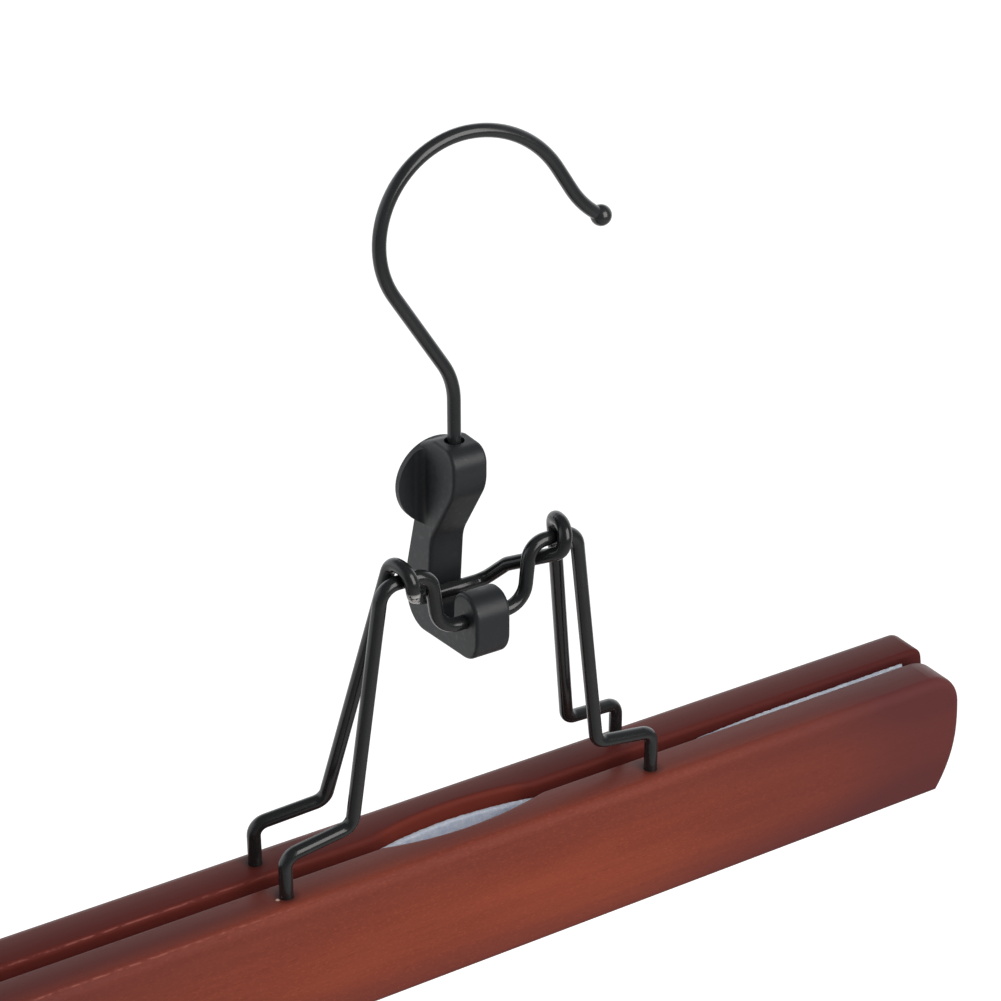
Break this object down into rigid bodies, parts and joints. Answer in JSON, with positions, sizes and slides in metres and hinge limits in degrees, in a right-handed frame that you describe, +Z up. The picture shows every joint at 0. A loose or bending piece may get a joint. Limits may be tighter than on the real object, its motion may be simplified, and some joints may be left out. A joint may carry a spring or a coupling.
{
  "type": "wooden clamp hanger",
  "caption": "Clamp hanger: felt-lined wooden bars on looped wire frames, pressed shut by a moulded lever that hangs from a swivelling wire hook.",
  "frame": {"origin": "the point on the inside of the hook's crown that rests on the rail", "axes": "+X along the bars towards the side that the hook's mouth faces, +Y from the front bar to the back bar, +Z up"},
  "size_m": [0.2626, 0.0284, 0.1862],
  "materials": {
    "bar_wood": "red-brown stain under satin lacquer",
    "felt": "pale pressed felt",
    "wire_paint": "gloss black",
    "lever_plastic": "matte black",
    "hook_paint": "gloss black",
    "clip_steel": "plain"
  },
  "bodies": {
    "hook": {"hook": "hook_paint", "retaining_clip": "clip_steel"},
    "lever": {"lever": "lever_plastic"},
    "front_jaw": {"front_bar": "bar_wood", "front_felt": "felt", "front_wire": "wire_paint"},
    "back_jaw": {"back_bar": "bar_wood", "back_felt": "felt", "back_wire": "wire_paint"}
  },
  "joints": [
    {"name": "hook_swivel", "type": "hinge", "parent": "hook", "child": "lever", "pos_m": [-0.0034, 0, -0.0646], "axis": [0, 0, 1], "continuous": true},
    {"name": "lever_pivot", "type": "hinge", "parent": "lever", "child": "front_jaw", "pos_m": [-0.0034, -0.0102, -0.0981], "axis": [1, 0, 0], "range_deg": [0, 80]},
    {"name": "jaw_hinge", "type": "hinge", "parent": "front_jaw", "child": "back_jaw", "pos_m": [-0.0034, -0.0099, -0.0848], "axis": [1, 0, 0], "range_deg": [0, 20]}
  ],
  "couplings": [
    {"joint": "jaw_hinge", "follows": "lever_pivot", "ratio": 0.25}
  ]
}
